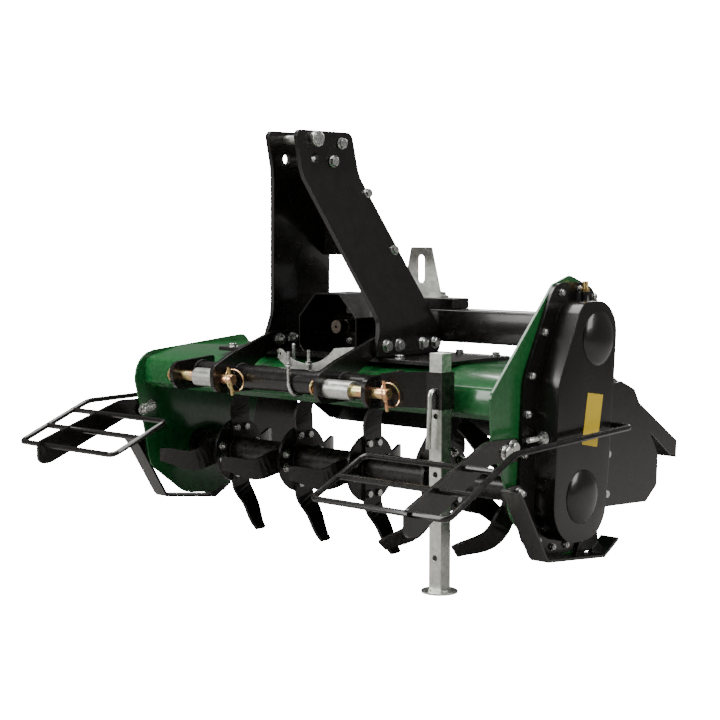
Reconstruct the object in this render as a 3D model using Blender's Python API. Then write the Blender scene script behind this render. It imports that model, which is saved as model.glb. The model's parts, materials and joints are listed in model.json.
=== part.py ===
"""Compact three-point rotary tiller, parked on its stand and on its lowest tines.

Metres, +Z up, -Y towards the tractor, +X towards the chain case.
Every outline is drawn about the rotor's centre line, which lies along X at the
origin of the empty "tiller". That empty stands so high that the lowest tine just
reaches the floor.
Side views are lists of (y, z) or (y, z, corner radius).
"""
from math import acos, atan2, cos, pi, radians, sin, tan

import bmesh
import bpy
from mathutils import Matrix, Vector

# Seats and running clearances
SEAT = 0.0003
RUNNING = 0.0006
EMBED = 0.001

# Overall sizes
SIDE_INNER = 0.506
SIDE_THICKNESS = 0.006
SIDE_OUTER = SIDE_INNER + SIDE_THICKNESS
SHEET = 0.003
THIN_SHEET = 0.002
PLATE = 0.010

# Rotor
TIP_RADIUS = 0.174
FLANGE_COUNT = 5
FLANGE_PITCH = 0.2035
FLANGE_FIRST = -0.380
FLANGE_RADIUS = 0.074
FLANGE_THICKNESS = 0.008
ROTOR_TUBE = 0.030
ROTOR_STUB = 0.0175
ROTOR_END_GAP = 0.021
ROTOR_END = SIDE_INNER - ROTOR_END_GAP
BLADE_THICKNESS = 0.007
BLADE_WIDTH = 0.052
BLADE_TIP_WIDTH = 0.028
BLADE_ROOT = 0.030
BLADE_BEND = 0.070
BLADE_REACH = 0.066
BLADE_BULGE = 0.014
BLADES_PER_FLANGE = 4
FLANGE_TURNS = (radians(90), radians(90), radians(90), radians(-40), radians(-49))
BEARING_RADIUS = 0.060
BEARING_DEPTH = 0.016

# Hitch
TUBE_Y = -0.212
TUBE_Z = 0.200
TUBE_RADIUS = 0.025
TUBE_WALL = 0.007
PIN_Y = -0.266
PIN_Z = 0.198
PIN_RADIUS = 0.011
PIN_BOSS = 0.030
HOOK_Y = -0.176
HOOK_THICKNESS = 0.004
HOOK_CENTRE = (0.0113, 0.339)
HOOK_RADIUS = 0.117
HOOK_WIDTH = 0.022
HITCH_INNER = 0.142
HITCH_TOP = 0.2895
CLEVIS_INNER = 0.266
EAR_BACK = -0.177
BUSHING_RADIUS = 0.019
BUSHING_LENGTH = 0.069

# Hood and the plate that carries the gearbox
HOOD_FRONT = -0.172
HOOD_TOP = 0.240
HINGE_Y = 0.246
HINGE_Z = 0.182
HINGE_RADIUS = 0.007
MOUNT_THICKNESS = 0.008
MOUNT_TOP = HOOD_TOP + SEAT + MOUNT_THICKNESS
DECK = MOUNT_TOP + SEAT

# Mast
MAST_INNER_HEAD = 0.035
MAST_HEAD_LOW = 0.615
MAST_FOOT_TOP = 0.304
MAST_TOP = 0.703
TOP_PIN = (-0.188, 0.686)
SPARE_HOLE = (-0.187, 0.648)
HEAD_BOLTS = ((-0.112, 0.680), (-0.137, 0.643))
TOP_PIN_RADIUS = 0.010
BOLT_RADIUS = 0.006

# Gearbox, power input and drive housing
PTO_Z = 0.303
PTO_RADIUS = 0.0145
PTO_FRONT = -0.078
SHIELD_FRONT = -0.105
GEARBOX_FRONT = 0.004
GEARBOX_BACK = 0.150
GEARBOX_HALF = 0.072
BEAM_Y = 0.105
BEAM_Z = 0.306
BEAM_SIZE = 0.068
BEAM_WALL = 0.005
CROSS_SHAFT_BORE = 0.028

# Chain case
CASE_INNER = SIDE_OUTER + SEAT
CASE_FLANGE = 0.007
CASE_DEPTH = 0.054
CASE_WALL = 0.007
CASE_TOP_AXIS = (0.048, 0.299)
CASE_COVER_TOP = 0.370
DOME_RADIUS = 0.052
DOME_RISE = 0.011
BREATHER_BOSS = 0.0088
BREATHER_HEIGHT = 0.017
BREATHER_PLACE = (CASE_INNER + 0.022, 0.050)

# Stand
STAND_X = 0.385
STAND_Y = -0.205
STAND_SIZE = 0.029
STAND_TOP = 0.276
SOCKET_WALL = 0.0035
SOCKET_GAP = 0.0005
SOCKET_LOW = 0.171
SOCKET_HIGH = 0.241
STAND_HOLES = (0.158, 0.048, -0.110)
STAND_PIN_Z = 0.206
STAND_PIN_RADIUS = 0.005
FOOT_RADIUS = 0.035
FOOT_THICKNESS = 0.004

# Guards, skids and rear board
ROD = 0.006
ARM_THICKNESS = 0.008
ARM_HEIGHT = 0.044
ARM_BACK = -0.143
SKID_WIDTH = 0.041
SKID_THICKNESS = 0.006
WING_THICKNESS = 0.003
BOARD_GAP = 0.006
BOARD_HALF = SIDE_INNER - BOARD_GAP
GUARD_OUTWARD = 0.086
GUARD_INWARD = 0.230
GUARD_FRONT = -0.462
BOARD_REAR = 0.457

# Where the middle of the whole outline lies from the rotor's centre line
CENTRE_Y = (GUARD_FRONT + BOARD_REAR) / 2


# ---------------------------------------------------------------- materials
def material(name, colour, roughness, metallic=0.0):
    found = bpy.data.materials.new(name)
    found.use_nodes = True
    shader = found.node_tree.nodes["Principled BSDF"]
    shader.inputs["Base Color"].default_value = (*colour, 1.0)
    shader.inputs["Roughness"].default_value = roughness
    shader.inputs["Metallic"].default_value = metallic
    found.diffuse_color = (*colour, 1.0)
    return found


for old in list(bpy.data.objects):
    bpy.data.objects.remove(old, do_unlink=True)

GREEN = material("green_paint", (0.012, 0.095, 0.025), 0.22)
BLACK = material("black_powder_coat", (0.010, 0.009, 0.008), 0.30)
CAST = material("black_cast_iron", (0.014, 0.013, 0.012), 0.45)
TINE = material("black_tine_paint", (0.013, 0.012, 0.011), 0.38)
ZINC = material("zinc_plate", (0.60, 0.62, 0.60), 0.35, 1.0)
YELLOW_ZINC = material("yellow_zinc", (0.72, 0.50, 0.22), 0.32, 1.0)
STEEL = material("machined_steel", (0.55, 0.54, 0.52), 0.30, 1.0)
BRASS = material("brass", (0.70, 0.48, 0.16), 0.30, 1.0)


# ------------------------------------------------------- tines and the floor
def blade_sections(side):
    """Curved tine that hangs from a flange, bends out to one side and runs to a narrow tip."""
    flat = FLANGE_THICKNESS / 2 + BLADE_THICKNESS / 2 - EMBED
    points = [Vector((side * flat, 0.0, -BLADE_ROOT)), Vector((side * flat, 0.0, -BLADE_BEND))]
    widths = [BLADE_WIDTH, BLADE_WIDTH]
    parts = 10
    for part in range(1, parts + 1):
        bend = part / parts
        depth = BLADE_BEND + (TIP_RADIUS - BLADE_BEND) * bend
        out = flat + BLADE_REACH * bend ** 1.9
        points.append(Vector((side * out, BLADE_BULGE * sin(pi * bend) ** 2, -depth)))
        widths.append(BLADE_WIDTH + (BLADE_TIP_WIDTH - BLADE_WIDTH) * bend ** 1.7)
    sections = []
    for k, (here, width) in enumerate(zip(points, widths)):
        along = (points[min(k + 1, len(points) - 1)] - points[max(k - 1, 0)]).normalized()
        if k == len(points) - 1:
            along = Vector((along.x, 0, along.z)).normalized()
        wide = Vector((0, 1, 0))
        wide = (wide - along * wide.dot(along)).normalized()
        thick = along.cross(wide) * BLADE_THICKNESS / 2
        front = wide * width / 2
        back = -front
        sections.append([here + back - thick, here + front - thick, here + front + thick, here + back + thick])
    return sections


def lowest_tine():
    """Depth of the lowest tine corner below the rotor's centre line."""
    depth = 0.0
    for turn in FLANGE_TURNS:
        for number in range(BLADES_PER_FLANGE):
            spin = Matrix.Rotation(turn + number * 2 * pi / BLADES_PER_FLANGE, 3, "X")
            for section in blade_sections(1):
                depth = max(depth, *(-(spin @ corner).z for corner in section))
    return depth


AXLE_HEIGHT = lowest_tine()
TILLER = bpy.data.objects.new("tiller", None)
TILLER.location = (0, -CENTRE_Y, AXLE_HEIGHT)
bpy.context.scene.collection.objects.link(TILLER)


# ------------------------------------------------------------ shape helpers
def place(name, body, paint, parent=None):
    """Turn a bmesh into a named object that hangs from the tiller or from a pivot."""
    bmesh.ops.recalc_face_normals(body, faces=body.faces)
    mesh = bpy.data.meshes.new(name)
    body.to_mesh(mesh)
    body.free()
    if paint is not None:
        mesh.materials.append(paint)
    made = bpy.data.objects.new(name, mesh)
    bpy.context.scene.collection.objects.link(made)
    made.parent = parent or TILLER
    return made


def pivot(name, point):
    """An empty on a joint's axis, at a point about the rotor's centre line."""
    made = bpy.data.objects.new(name, None)
    bpy.context.scene.collection.objects.link(made)
    made.parent = TILLER
    made.location = point
    return made


def shade_round(made, angle=35):
    made.data.shade_smooth()
    made.data.set_sharp_from_angle(angle=radians(angle))


def combine(target, other, operation="UNION"):
    """Join or cut with a hidden helper object."""
    other.hide_render = True
    other.display_type = "WIRE"
    change = target.modifiers.new(operation.lower(), "BOOLEAN")
    change.operation = operation
    change.object = other
    change.solver = "EXACT"


def circle(y, z, radius, sides=16, start=0.0):
    return [
        (y + radius * cos(start + 2 * pi * k / sides), z + radius * sin(start + 2 * pi * k / sides))
        for k in range(sides)
    ]


def outline(corners, step=radians(18)):
    """Closed outline whose corners (y, z, radius) are rounded by arcs."""
    points = []
    count = len(corners)
    for k, corner in enumerate(corners):
        here = Vector(corner[:2])
        if len(corner) < 3:
            points.append(tuple(here))
            continue
        back = (Vector(corners[k - 1][:2]) - here).normalized()
        ahead = (Vector(corners[(k + 1) % count][:2]) - here).normalized()
        half = acos(max(-1.0, min(1.0, back.dot(ahead)))) / 2
        reach = corner[2] / tan(half)
        centre = here + (back + ahead).normalized() * (corner[2] / sin(half))
        start = here + back * reach - centre
        end = here + ahead * reach - centre
        first = atan2(start.y, start.x)
        turn = (atan2(end.y, end.x) - first + pi) % (2 * pi) - pi
        parts = max(1, round(abs(turn) / step))
        for part in range(parts + 1):
            angle = first + turn * part / parts
            points.append((centre.x + corner[2] * cos(angle), centre.y + corner[2] * sin(angle)))
    return points


def on_axis(axis, u, v, w):
    """(u, v) across the axis and w along it: X has (y, z), Y has (x, z), Z has (x, y)."""
    return {"X": (w, u, v), "Y": (u, w, v), "Z": (u, v, w)}[axis]


def slab_body(points, low, high, axis="X", holes=()):
    """Flat outline with holes, extruded along an axis."""
    body = bmesh.new()
    edges = []
    for loop in (points, *holes):
        verts = [body.verts.new(on_axis(axis, u, v, low)) for u, v in loop]
        edges += [body.edges.new((verts[k - 1], verts[k])) for k in range(len(verts))]
    bmesh.ops.triangle_fill(body, use_beauty=True, use_dissolve=False, edges=edges)
    grown = bmesh.ops.extrude_face_region(body, geom=list(body.faces))
    moved = [item for item in grown["geom"] if isinstance(item, bmesh.types.BMVert)]
    bmesh.ops.translate(body, verts=moved, vec=on_axis(axis, 0, 0, high - low))
    return body


def slab(name, points, low, high, paint, axis="X", holes=(), parent=None):
    return place(name, slab_body(points, low, high, axis, holes), paint, parent)


def box(name, low, high, paint, parent=None):
    corners = [(low[0], low[1]), (high[0], low[1]), (high[0], high[1]), (low[0], high[1])]
    return slab(name, corners, low[2], high[2], paint, "Z", (), parent)


def strip(path, thickness):
    """Outline of a bent sheet: an open side-view path, offset to its left."""
    offset = []
    for k, point in enumerate(path):
        here = Vector(point)
        before = (here - Vector(path[k - 1])).normalized() if k else None
        after = (Vector(path[k + 1]) - here).normalized() if k + 1 < len(path) else None
        before = before or after
        after = after or before
        normal = (Vector((-before.y, before.x)) + Vector((-after.y, after.x))).normalized()
        offset.append(tuple(here + normal * thickness / normal.dot(Vector((-before.y, before.x)))))
    return list(path) + offset[::-1]


def turned_body(profile, axis="X", centre=(0, 0), sides=24):
    """Closed profile of (along, radius), turned about an axis; radius 0 closes on the axis."""
    body = bmesh.new()
    rings = []
    for along, radius in profile:
        if radius == 0:
            rings.append([body.verts.new(on_axis(axis, centre[0], centre[1], along))])
            continue
        rings.append([
            body.verts.new(on_axis(axis, u, v, along))
            for u, v in circle(centre[0], centre[1], radius, sides)
        ])
    closed = profile[0][1] != 0
    pairs = list(zip(rings, rings[1:] + ([rings[0]] if closed else [])))
    for first, second in pairs if closed else pairs[:len(rings) - 1]:
        for k in range(sides):
            a, b = first[k % len(first)], first[(k + 1) % len(first)]
            c, d = second[(k + 1) % len(second)], second[k % len(second)]
            corners = [a] + [item for item in (b, c, d) if item is not a]
            face = list(dict.fromkeys(corners))
            if len(face) > 2:
                body.faces.new(face)
    return body


def turned(name, profile, paint, axis="X", centre=(0, 0), sides=24, parent=None):
    made = place(name, turned_body(profile, axis, centre, sides), paint, parent)
    shade_round(made)
    return made


def rounded_path(points, radius, parts=4):
    """Open 3D path with its inner corners eased by short curves."""
    points = [Vector(p) for p in points]
    eased = [points[0]]
    for before, here, after in zip(points, points[1:], points[2:]):
        start = here + (before - here).normalized() * radius
        end = here + (after - here).normalized() * radius
        for part in range(parts + 1):
            t = part / parts
            eased.append(start * (1 - t) ** 2 + here * 2 * t * (1 - t) + end * t ** 2)
    return eased + [points[-1]]


def rod_body(path, radius, sides=10, closed=False):
    """Round bar along a path, mitred at each point."""
    body = bmesh.new()
    path = [Vector(p) for p in path]
    count = len(path)
    rings = []
    side = None
    for k, here in enumerate(path):
        ahead = path[(k + 1) % count] - here if closed or k + 1 < count else here - path[k - 1]
        behind = here - path[k - 1] if closed or k else ahead
        along = (ahead.normalized() + behind.normalized()).normalized()
        if side is None:
            side = along.orthogonal().normalized()
        side = (side - along * side.dot(along)).normalized()
        other = along.cross(side)
        stretch = 1 / max(0.5, along.dot(ahead.normalized()))
        bend = (ahead.normalized() - behind.normalized())
        ring = []
        for n in range(sides):
            angle = 2 * pi * (n + 0.3) / sides
            reach = side * cos(angle) + other * sin(angle)
            if bend.length > 1e-4:
                out = bend.normalized()
                reach += out * reach.dot(out) * (stretch - 1)
            ring.append(body.verts.new(here + reach * radius))
        rings.append(ring)
    pairs = list(zip(rings, rings[1:]))
    if closed:
        pairs.append((rings[-1], rings[0]))
    for first, second in pairs:
        for n in range(sides):
            body.faces.new((first[n - 1], first[n], second[n], second[n - 1]))
    if not closed:
        body.faces.new(rings[0])
        body.faces.new(rings[-1][::-1])
    return body


def rod(name, path, radius, paint, sides=10, closed=False, parent=None):
    made = place(name, rod_body(path, radius, sides, closed), paint, parent)
    shade_round(made, 50)
    return made


def loft_body(sections):
    """Closed body through four-cornered sections."""
    body = bmesh.new()
    rings = [[body.verts.new(corner) for corner in section] for section in sections]
    for first, second in zip(rings, rings[1:]):
        for n in range(4):
            body.faces.new((first[n - 1], first[n], second[n], second[n - 1]))
    body.faces.new(rings[0])
    body.faces.new(rings[-1][::-1])
    return body


# -------------------------------------------------------------------- rotor
def blade_set(index, turn, parent):
    x = FLANGE_FIRST + index * FLANGE_PITCH
    half = FLANGE_THICKNESS / 2
    bore = circle(0, 0, ROTOR_TUBE + SEAT, 24)
    name = f"blade_set_{index + 1}"
    disc = slab(name, circle(0, 0, FLANGE_RADIUS, 24), -half, half, TINE, "X", [bore], parent)
    disc.location.x = x
    last = index == FLANGE_COUNT - 1
    for number in range(BLADES_PER_FLANGE):
        side = 1 if number % 2 and not last else -1
        blade = place(f"{name}_tine_{number}", loft_body(blade_sections(side)), None, parent)
        blade.location.x = x
        blade.rotation_euler.x = turn + number * 2 * pi / BLADES_PER_FLANGE
        combine(disc, blade)


def rotor():
    axis = pivot("rotor_axis", (0, 0, 0))
    turned("rotor_shaft", [
        (-SIDE_OUTER - BEARING_DEPTH + 0.004, 0), (-SIDE_OUTER - BEARING_DEPTH + 0.004, ROTOR_STUB),
        (-ROTOR_END, ROTOR_STUB), (-ROTOR_END, ROTOR_TUBE), (ROTOR_END, ROTOR_TUBE),
        (ROTOR_END, ROTOR_STUB), (SIDE_OUTER - 0.001, ROTOR_STUB), (SIDE_OUTER - 0.001, 0),
    ], TINE, parent=axis)
    for index in range(FLANGE_COUNT):
        blade_set(index, FLANGE_TURNS[index], axis)


def bearings():
    """Housings that carry the rotor's stubs, inside the left plate and the right plate."""
    bore = ROTOR_STUB + RUNNING
    inner = SIDE_INNER - SEAT
    turned("bearing_left", [
        (-SIDE_OUTER - BEARING_DEPTH, bore), (-SIDE_OUTER - BEARING_DEPTH, 0.034),
        (-SIDE_OUTER - SEAT - 0.006, 0.040), (-SIDE_OUTER - SEAT - 0.006, BEARING_RADIUS),
        (-SIDE_OUTER - SEAT, BEARING_RADIUS), (-SIDE_OUTER - SEAT, 0.038),
        (-SIDE_INNER + 0.010, 0.036), (-SIDE_INNER + 0.010, bore),
    ], CAST)
    turned("bearing_right", [
        (inner, bore), (inner, BEARING_RADIUS), (inner - 0.008, BEARING_RADIUS),
        (inner - 0.009, 0.038), (inner - 0.014, 0.034), (inner - 0.014, bore),
    ], CAST)


# -------------------------------------------------- side plates, hood, case
def side_plates():
    left = [
        (-0.198, 0.165), (-0.196, 0.228, 0.060), (0.142, 0.256, 0.020), (0.205, 0.180, 0.060),
        (0.168, 0.030, 0.100), (0.112, -0.095, 0.060), (0.030, -0.117, 0.060),
        (-0.052, -0.108, 0.060), (-0.158, -0.030, 0.050), (-0.171, 0.050, 0.100),
    ]
    slab("side_plate_left", outline(left), -SIDE_OUTER, -SIDE_INNER, GREEN, "X",
         [circle(0, 0, 0.038 + 4 * SEAT, 24)])
    right = [
        (-0.216, 0.205, 0.020), (-0.026, 0.402, 0.020), (0.031, 0.419, 0.020), (0.094, 0.398, 0.030),
        (0.172, 0.260, 0.060), (0.168, 0.020, 0.080), (0.096, -0.125, 0.070), (-0.030, -0.128, 0.060),
        (-0.152, -0.030, 0.060), (-0.172, 0.040, 0.060), (-0.212, 0.120, 0.020),
    ]
    slab("side_plate_right", outline(right), SIDE_INNER, SIDE_OUTER, GREEN, "X",
         [circle(0, 0, ROTOR_STUB + 0.006, 16)])
    left_bore = bpy.data.objects["side_plate_left"]
    shade_round(left_bore, 40)


def hood():
    path = [
        (HOOD_FRONT + 0.010, 0.152), (HOOD_FRONT, 0.162), (HOOD_FRONT, 0.200),
        (HOOD_FRONT + 0.005, 0.212), (HOOD_FRONT + 0.016, 0.219), (HOOD_FRONT + 0.056, 0.229),
        (-0.060, HOOD_TOP), (0.130, HOOD_TOP), (0.165, HOOD_TOP - 0.008), (0.192, HOOD_TOP - 0.026),
        (HINGE_Y - 0.0048, HINGE_Z + 0.0064),
    ]
    sheet = slab("hood", strip(path[::-1], SHEET), -SIDE_INNER + SEAT, SIDE_INNER - SEAT, GREEN)
    shade_round(sheet, 30)


def chain_case():
    flange = [
        (-0.145, -0.116, 0.095), (-0.124, 0.232, 0.050), (-0.030, 0.405, 0.040),
        (0.122, 0.405, 0.070), (0.130, 0.100, 0.200), (0.106, -0.116, 0.085),
    ]
    cover = [
        (-0.096, -0.086, 0.075), (-0.080, 0.222, 0.050), (-0.008, CASE_COVER_TOP, 0.040),
        (0.116, CASE_COVER_TOP, 0.062), (0.096, 0.100, 0.300), (0.076, -0.086, 0.068),
    ]
    outer = CASE_INNER + CASE_DEPTH
    case = slab("chain_case", outline(flange), CASE_INNER, CASE_INNER + CASE_FLANGE, BLACK)
    raised = slab("chain_case_cover", outline(cover, radians(12)), CASE_INNER + EMBED, outer, None)
    round_edge = raised.modifiers.new("round_edge", "BEVEL")
    round_edge.width = 0.007
    round_edge.segments = 3
    round_edge.limit_method = "ANGLE"
    round_edge.angle_limit = radians(60)
    combine(case, raised)
    middle = 0.142
    pocket = slab("chain_case_pocket", outline([
        (0.86 * y, middle + 0.93 * (z - middle), 0.8 * radius) for y, z, radius in cover
    ]), CASE_INNER - 0.01, outer - CASE_WALL, None)
    for number, centre in enumerate(((0.0, 0.0), CASE_TOP_AXIS)):
        dome = turned(f"chain_case_dome_{number}", [
            (outer - EMBED, 0), (outer - EMBED, DOME_RADIUS), (outer + 0.12 * DOME_RISE, DOME_RADIUS),
            (outer + 0.45 * DOME_RISE, 0.86 * DOME_RADIUS), (outer + 0.72 * DOME_RISE, 0.68 * DOME_RADIUS),
            (outer + 0.91 * DOME_RISE, 0.44 * DOME_RADIUS), (outer + DOME_RISE, 0.18 * DOME_RADIUS),
            (outer + DOME_RISE, 0),
        ], None, centre=centre, sides=32)
        combine(case, dome)
    boss = turned("chain_case_boss", [
        (CASE_COVER_TOP - 0.003, 0), (CASE_COVER_TOP - 0.003, BREATHER_BOSS),
        (CASE_COVER_TOP + BREATHER_HEIGHT, BREATHER_BOSS), (CASE_COVER_TOP + BREATHER_HEIGHT, 0),
    ], None, "Z", BREATHER_PLACE, 16)
    combine(case, boss)
    combine(case, pocket, "DIFFERENCE")
    shade_round(case, 40)


def breather():
    """Brass breather, standing on the boss at the case's top."""
    z = CASE_COVER_TOP + BREATHER_HEIGHT + SEAT
    turned("case_breather", [
        (z, 0), (z, 0.0078), (z + 0.006, 0.0078), (z + 0.006, 0.0058),
        (z + 0.017, 0.0058), (z + 0.020, 0.0045), (z + 0.020, 0),
    ], BRASS, "Z", BREATHER_PLACE, 12)


# -------------------------------------------------------------------- hitch
def hitch_plates():
    shape = [
        (PIN_Y - PIN_BOSS, PIN_Z - PIN_BOSS, 0.9 * PIN_BOSS), (EAR_BACK, PIN_Z - PIN_BOSS, 0.010),
        (EAR_BACK, 0.222, 0.006),
        (HOOD_FRONT + 0.040, DECK, 0.020), (0.070, DECK), (0.070, HITCH_TOP, 0.008),
        (-0.125, HITCH_TOP, 0.030), (-0.240, 0.250, 0.030),
        (PIN_Y - PIN_BOSS, PIN_Z + PIN_BOSS * 0.9, 0.020),
    ]
    for name, side in (("left", -1), ("right", 1)):
        holes = [circle(PIN_Y, PIN_Z, PIN_RADIUS + SEAT), circle(TUBE_Y, TUBE_Z, TUBE_RADIUS + SEAT, 24)]
        low, high = sorted((side * HITCH_INNER, side * (HITCH_INNER + PLATE)))
        slab(f"hitch_plate_{name}", outline(shape), low, high, BLACK, "X", holes)


def clevis_plates():
    """Outer ears of the lower hitch, welded on the ends of the cross tube."""
    shape = [
        (PIN_Y - PIN_BOSS, PIN_Z - PIN_BOSS, 0.9 * PIN_BOSS), (EAR_BACK, PIN_Z - PIN_BOSS, 0.006),
        (EAR_BACK, 0.236, 0.006), (PIN_Y - 0.012, PIN_Z + PIN_BOSS, 0.020),
        (PIN_Y - PIN_BOSS, PIN_Z + PIN_BOSS, 0.020),
    ]
    holes = [circle(PIN_Y, PIN_Z, PIN_RADIUS + SEAT), circle(TUBE_Y, TUBE_Z, TUBE_RADIUS + SEAT, 24)]
    for name, side in (("left", -1), ("right", 1)):
        low, high = sorted((side * CLEVIS_INNER, side * (CLEVIS_INNER + PLATE)))
        slab(f"clevis_plate_{name}", outline(shape), low, high, BLACK, "X", holes)


def cross_tube():
    end = CLEVIS_INNER + PLATE + 0.004
    turned("cross_tube", [
        (-end, TUBE_RADIUS - TUBE_WALL), (-end, TUBE_RADIUS), (end, TUBE_RADIUS),
        (end, TUBE_RADIUS - TUBE_WALL),
    ], BLACK, centre=(TUBE_Y, TUBE_Z), sides=24)


def lower_pins():
    """Cross pins of the lower hitch, their loose bushings and their ring pins.

    The left pin is pushed in from outside, the right one from inside.
    """
    near = HITCH_INNER - 0.022
    far = CLEVIS_INNER + PLATE + 0.030
    for name, side, head_out in (("left", -1, True), ("right", 1, False)):
        head = far - 0.006 if head_out else near - 0.002
        tail = near - 0.008 if head_out else far + 0.006
        away = 1 if head_out else -1
        ends = [
            (side * head, 0), (side * head, PIN_RADIUS + 0.005),
            (side * (head - away * 0.005), PIN_RADIUS + 0.005), (side * (head - away * 0.005), PIN_RADIUS),
            (side * (tail + away * 0.002), PIN_RADIUS), (side * tail, PIN_RADIUS - 0.002), (side * tail, 0),
        ]
        pin = turned(f"lower_pin_{name}", ends, YELLOW_ZINC, centre=(PIN_Y, PIN_Z), sides=20)
        cross = side * (tail + away * 0.011)
        ring_pin(name, cross, pin)
        start = HITCH_INNER + PLATE + SEAT
        turned(f"pin_bushing_{name}", [
            (side * start, PIN_RADIUS + SEAT), (side * start, BUSHING_RADIUS),
            (side * (start + BUSHING_LENGTH), BUSHING_RADIUS),
            (side * (start + BUSHING_LENGTH), PIN_RADIUS + SEAT),
        ], ZINC, centre=(PIN_Y, PIN_Z), sides=24)


def ring_pin(name, x, pin):
    """Ring pin through the tail of a cross pin: a plain shank with a sprung ring."""
    shank = 0.0038
    lean = radians(12)
    bore = place(f"ring_pin_bore_{name}", rod_body([(0, 0, -0.04), (0, 0, 0.04)], shank + SEAT, 12), None)
    bore.location = (x, PIN_Y, PIN_Z)
    bore.rotation_euler.x = lean
    combine(pin, bore, "DIFFERENCE")
    made = rod(f"ring_pin_{name}", [(0, 0, -0.034), (0, 0, 0.026)], shank, YELLOW_ZINC, 12)
    made.location = (x, PIN_Y, PIN_Z)
    made.rotation_euler.x = lean
    loop = 0.0225
    wire = 0.0016
    out = PIN_RADIUS + 0.010
    start = radians(90)
    ring_path = []
    for k in range(25):
        angle = start + 2 * pi * k / 24
        clear = out * sin(pi * k / 24) * 0.9
        ring_path.append((clear, 0.001 + loop * cos(angle), loop * sin(angle) - 0.002))
    ring = place(f"ring_pin_ring_{name}", rod_body(ring_path[:-1], wire, 6, closed=True), None)
    ring.location = (x, PIN_Y, PIN_Z)
    ring.rotation_euler.x = lean
    combine(made, ring)


# --------------------------------------------------------------------- mast
def mast_x(z, face):
    """Half-width of a mast plate's inner face (face 0) or outer face (face PLATE) at a height."""
    foot = HITCH_INNER + PLATE + SEAT
    if z >= MAST_HEAD_LOW:
        return MAST_INNER_HEAD + face
    if z <= MAST_FOOT_TOP:
        return foot + face
    t = (MAST_HEAD_LOW - z) / (MAST_HEAD_LOW - MAST_FOOT_TOP)
    return MAST_INNER_HEAD + (foot - MAST_INNER_HEAD) * t + face


def mast_plates():
    silhouette = [
        (-0.241, MAST_TOP, 0.012), (-0.222, MAST_HEAD_LOW - 0.004, 0.060),
        (-0.116, 0.322, 0.060), (-0.140, DECK + 0.002, 0.014), (0.069, DECK + 0.002, 0.014),
        (0.064, MAST_FOOT_TOP, 0.020), (-0.055, MAST_HEAD_LOW - 0.002, 0.030), (-0.078, MAST_TOP, 0.018),
    ]
    levels = [DECK - 0.02, MAST_FOOT_TOP, MAST_HEAD_LOW, MAST_TOP + 0.02]
    inner = [(mast_x(z, 0), z) for z in levels]
    slant = atan2(inner[1][0] - inner[2][0], inner[2][1] - inner[1][1])
    ease = 0.012
    eased = [inner[0], (inner[1][0], inner[1][1] - ease),
             (inner[1][0] - ease * sin(slant), inner[1][1] + ease * cos(slant)),
             (inner[2][0] + ease * sin(slant), inner[2][1] - ease * cos(slant)),
             (inner[2][0], inner[2][1] + ease), inner[3]]
    for name, side in (("left", -1), ("right", 1)):
        section = [(side * x, z) for x, z in strip(eased[::-1], PLATE)]
        plate = slab(f"mast_plate_{name}", section, -0.30, 0.12, BLACK, "Y")
        holes = [circle(*TOP_PIN, TOP_PIN_RADIUS + SEAT), circle(*SPARE_HOLE, TOP_PIN_RADIUS)]
        holes += [circle(*spot, BOLT_RADIUS + SEAT, 12) for spot in HEAD_BOLTS]
        low, high = sorted((side * 0.01, side * 0.22))
        cut = slab(f"mast_outline_{name}", outline(silhouette), low, high, None, "X", holes)
        combine(plate, cut, "INTERSECT")


def mast_head():
    """Top link pin and the two bolted spacers that keep the mast's head apart."""
    outer = MAST_INNER_HEAD + PLATE
    hexagon = [(side, radius) for side, radius in (
        (outer + SEAT + 0.010, 0.0), (outer + SEAT + 0.010, 0.016), (outer + SEAT, 0.016),
        (outer + SEAT, TOP_PIN_RADIUS), (-outer - 0.014, TOP_PIN_RADIUS), (-outer - 0.014, 0.0),
    )]
    turned("top_link_pin", hexagon, ZINC, centre=TOP_PIN, sides=18)
    for number, spot in enumerate(HEAD_BOLTS):
        turned(f"head_spacer_{number + 1}", [
            (-outer - SEAT - 0.007, 0.0), (-outer - SEAT - 0.007, 0.0095), (-outer - SEAT, 0.0095),
            (-outer - SEAT, BOLT_RADIUS), (-MAST_INNER_HEAD + SEAT, BOLT_RADIUS),
            (-MAST_INNER_HEAD + SEAT, 0.011), (MAST_INNER_HEAD - SEAT, 0.011),
            (MAST_INNER_HEAD - SEAT, BOLT_RADIUS), (outer + SEAT, BOLT_RADIUS), (outer + SEAT, 0.0095),
            (outer + SEAT + 0.007, 0.0095), (outer + SEAT + 0.007, 0.0),
        ], ZINC, centre=spot, sides=12)


def mast_brace():
    """Tapered plate bolted between the mast plates, near their rear edges."""
    top = (-0.052, 0.590)
    low = (-0.016, 0.452)
    sections = []
    for y, z in (top, low):
        half = mast_x(z, 0) - SEAT - 0.0004
        sections.append([(-half, y, z), (half, y, z), (half, y + 0.006, z), (-half, y + 0.006, z)])
    place("mast_brace", loft_body(sections), BLACK)


# ------------------------------------------------- gearbox, shield and drive
def octagon(half, top, low, high, corner):
    return [(-top, high), (-half, high - corner), (-half, low + 0.012), (-half + 0.012, low),
            (half - 0.012, low), (half, low + 0.012), (half, high - corner), (top, high)]


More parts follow.
